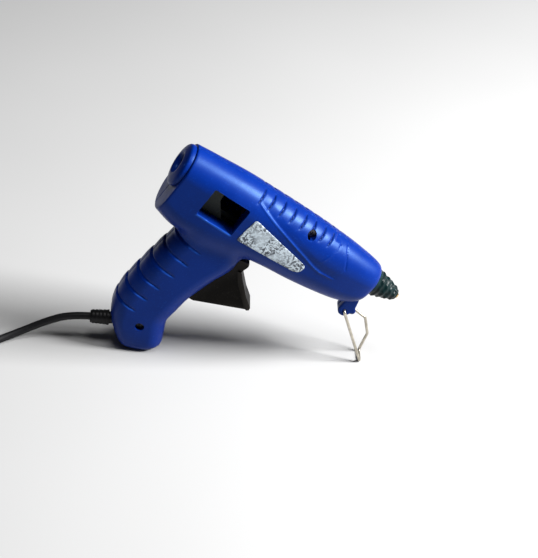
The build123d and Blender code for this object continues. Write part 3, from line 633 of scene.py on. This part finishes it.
def shell_half(node, sign):
    """One half of the shell: the CAD half remeshed finely, eased, and given its surface detail."""
    mesh = NODES[node].data.copy()
    write_points(mesh, to_gun(read_points(mesh)))
    clean = bmesh.new()
    clean.from_mesh(mesh)
    bmesh.ops.remove_doubles(clean, verts=clean.verts, dist=1e-3)
    clean.to_mesh(mesh)
    clean.free()
    obj = link(bpy.data.objects.new(node.replace("housing", "shell"), mesh))
    remesh = obj.modifiers.new("remesh", "REMESH")
    remesh.mode = "VOXEL"
    remesh.voxel_size = VOXEL
    fine = evaluated(obj)
    obj.modifiers.clear()
    obj.data = fine
    bpy.data.meshes.remove(mesh)
    points = smoothed(read_points(fine), edge_array(fine), 6)
    sharp = form(points, 0, 0, 0, 0)
    weight = np.clip((1.15 - np.abs(sharp)) / 0.45, 0, 1)
    points = settle(points, weight)
    seam = (weight > 0.5) & (np.abs(points[:, 1]) < 0.34)
    points[seam, 1] = 0.11 * sign
    points[:, 1] = np.where(points[:, 1] * sign < 0.0, 0.0, points[:, 1])
    # painted shade in the grooves and painted highlights on raised lines, kept on the mesh's points
    for name, share in zip(("painted_shade", "painted_highlight"), marks(points)):
        fine.attributes.new(name, "FLOAT", "POINT").data.foreach_set("value", share * (weight > 0.5))
    write_points(fine, to_row(points))
    shade_smooth(fine, 42)
    dress(obj, BLUE)
    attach(obj, "housing")
    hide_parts(node)
    print(node, "faces", len(fine.polygons))
    return obj


shell_half("housing_right", -1)
shell_half("housing_left", 1)

# ---------------------------------------------------------------- label
# corners of the label as (x, z), and the spacing of the mesh lines that let it follow the barrel
LABEL = [
    (50.2, 3.0), (48.2, -15.6), (49.4, -16.6), (95.4, -15.8),
    (98.8, -13.4), (99.4, -8.8), (97.6, -7.0), (52.2, 3.4),
]
LABEL_BACK, LABEL_BOTTOM, LABEL_STEP = 48.0, -17.0, 0.75


def side_label():
    """A thin printed label that follows the right side of the barrel."""
    outline = eased_outline(LABEL, 1.6, 5)
    flat = bmesh.new()
    ring = [flat.verts.new((x, -25.0, z)) for x, z in outline]
    flat.faces.new(ring)
    for start, count, across in ((LABEL_BACK, 70, (1, 0, 0)), (LABEL_BOTTOM, 28, (0, 0, 1))):
        for cut in range(1, count):
            place = Vector(across) * (start + cut * LABEL_STEP)
            bmesh.ops.bisect_plane(flat, geom=flat.verts[:] + flat.edges[:] + flat.faces[:], plane_co=place,
                                   plane_no=across)
    mesh = bpy.data.meshes.new("label")
    flat.to_mesh(mesh)
    flat.free()
    points = read_points(mesh)
    near, far = np.full(len(points), 10.0), np.full(len(points), 25.0)
    for _ in range(40):
        middle = (near + far) / 2
        probe = points.copy()
        probe[:, 1] = -middle
        inside = form(probe) + relief(probe) < 0.02
        near, far = np.where(inside, middle, near), np.where(inside, far, middle)
    points[:, 1] = -far
    write_points(mesh, to_row(points))
    mesh.shade_smooth()
    obj = link(bpy.data.objects.new("label", mesh))
    thick = obj.modifiers.new("thickness", "SOLIDIFY")
    thick.thickness = 0.00022
    thick.offset = 1.0
    return obj


def label_material():
    """Off-white vinyl with worn grey print that can't be read."""
    made, tree, shader, at = material("label vinyl")
    print_marks = noise(tree, at, 520.0, 3.0, 0.7, 0.6)
    blocks = noise(tree, at, 95.0, 1.0)
    inked = tree.nodes.new("ShaderNodeMath")
    inked.operation = "MULTIPLY"
    tree.links.new(spread(tree, print_marks, 0.46, 0.53, 0.0, 1.0), inked.inputs[0])
    tree.links.new(spread(tree, blocks, 0.38, 0.56, 0.30, 1.0), inked.inputs[1])
    stain = spread(tree, noise(tree, at, 60.0, 3.0), 0.35, 0.7, 0.0, 1.0)
    paper = mixed(tree, stain, (0.66, 0.76, 0.84), (0.54, 0.63, 0.70))
    tree.links.new(mixed(tree, inked.outputs[0], paper, (0.05, 0.06, 0.08)), shader.inputs["Base Color"])
    shader.inputs["Roughness"].default_value = 0.42
    tree.links.new(bump(tree, noise(tree, at, 900.0, 2.0), 0.2, 0.00002), shader.inputs["Normal"])
    return made


label = side_label()
dress(label, label_material())
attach(label, "housing")
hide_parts("side_label")

# ---------------------------------------------------------------- turned pieces
COLLAR_X = -11.2
STICK_BORE = 5.9
collar = lathe("collar", eased_outline([
    (COLLAR_X, 7.6), (COLLAR_X, 9.4), (-10.6, 12.0), (-9.9, 14.2), (-8.8, 15.45), (-5.95, 15.7),
    (-5.95, 12.95), (-1.0, 12.95), (-1.0, 8.4), (6.5, 8.4), (6.5, STICK_BORE), (-8.8, STICK_BORE),
], 0.9, 5), 128)
shade_smooth(collar.data, 40)
dress(collar, BLUE)
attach(collar, "housing")
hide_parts("rear_collar")


def boot_outline():
    """Soft rings down the boot's cone, and the bore over the nozzle."""
    outline = [(148.2, 6.5), (148.2, 10.0), (154.2, 10.0)]
    cone = [(155.0, 9.6), (160.0, 8.6), (165.0, 7.3), (169.5, 5.8), (173.2, 4.1)]
    xs, rs = zip(*cone)
    for i in range(70):
        x = 155.0 + 18.2 * i / 69
        ring = 0.36 * math.cos((x - 157.2) / 4.6 * 2 * math.pi) - 0.06
        outline.append((x, float(np.interp(x, xs, rs)) + ring * min(1.0, (x - 154.4) / 1.5, (173.6 - x) / 1.2)))
    return outline + [(173.4, 3.6), (173.4, 2.6), (171.55, 3.05), (158.05, 5.65), (156, 6.5)]


def boot_ribs(x, radius, angle):
    """Blunt ribs along the cone, which break up the rings."""
    if x < 154.5 or x > 173.0 or radius < 3.5:
        return 0.0
    lumps = math.cos(7 * angle + 0.35 * x) + 0.7 * math.cos(4 * angle - 0.9 * x + 1.0)
    return 0.17 * lumps + 0.10 * math.cos(11 * angle + 1.7 * x) - 0.08


boot = lathe("boot", boot_outline(), 108, boot_ribs)
shade_smooth(boot.data, 50)
dress(boot, BOOT_RUBBER)
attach(boot, "housing")
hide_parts("nozzle_boot")

# ---------------------------------------------------------------- strain relief
relief_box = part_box("strain_relief")
relief_back = relief_box[0][0]
relief_z = (relief_box[0][2] + relief_box[1][2]) / 2
# length outside the handle, millimetres between its soft rings, and points around it
RELIEF_TAIL, RELIEF_PITCH, RELIEF_TURNS = 15.0, 2.6, 64


def strain_relief():
    """Moulded sleeve with soft rings along its tail."""
    tail = RELIEF_TAIL
    outline = [(-tail, 2.72), (-tail, 4.0), (-tail + 0.35, 4.45), (-tail + 0.8, 4.65)]
    for i in range(60):
        x = -tail + 1.2 + (tail - 3.2) * i / 59
        ring = 0.14 * math.cos(x * 2 * math.pi / RELIEF_PITCH)
        outline.append((x, 4.72 + 0.85 * (x + tail) / tail + ring))
    outline += [(-1.6, 5.45), (-1.6, 4.35), (3.6, 4.35), (3.6, 6.0), (5.4, 6.0), (5.4, 2.72)]
    rings = []
    for x, radius in outline:
        place = relief_back + (x + RELIEF_TAIL) / 1000
        rings.append([(place, radius / 1000 * math.sin(a), relief_z + radius / 1000 * math.cos(a))
                      for a in (2 * math.pi * k / RELIEF_TURNS for k in range(RELIEF_TURNS))])
    return ring_form("relief", rings)


sleeve = strain_relief()
shade_smooth(sleeve.data, 50)
dress(sleeve, CORD_RUBBER)
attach(sleeve, "housing")
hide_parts("strain_relief")

# ---------------------------------------------------------------- pieces kept from the CAD model
LOOKS = {
    "inlet_sleeve": SILICONE_RED, "sleeve_clamp": STEEL, "heating_chamber": ALUMINIUM, "heater_tablet": CERAMIC,
    "heater_contacts": ALUMINIUM, "heater_wrap": FILM, "front_bush": HEATPROOF, "nozzle": BRASS,
    "feed_carriage": GREY_NYLON, "link_pin": STEEL, "clamp_lever": STEEL, "clamp_pin": STEEL,
    "trigger": BROWN_NYLON, "trigger_pin": STEEL, "return_spring": STEEL, "wire_stand": STAND_STEEL,
    "housing_screws": SCREW_STEEL, "lead_wires": LEAD_SKIN, "wire_connectors": CAP_NYLON, "cord_cores": LEAD_SKIN,
    "cord_tail": CORD_RUBBER, "cord_clamp": HEATPROOF, "cord_clamp_screws": STEEL, "cord_tie": TIE_SKIN,
    "plug_body": CORD_RUBBER, "plug_pins": NICKEL,
}
# width of the rounding on each of these pieces' edges, in metres
ROUNDED = {
    "feed_carriage": 0.0005, "trigger": 0.0009, "cord_clamp": 0.0004, "plug_body": 0.0008, "cord_tie": 0.0002,
    "clamp_lever": 0.0003,
}
for name, made in LOOKS.items():
    node = NODES[name]
    dress(node, made)
    if name in ROUNDED:
        edge = node.modifiers.new("rounded edges", "BEVEL")
        edge.width = ROUNDED[name]
        edge.segments = 3
        edge.limit_method = "ANGLE"
        edge.angle_limit = math.radians(30)
        edge.use_clamp_overlap = True
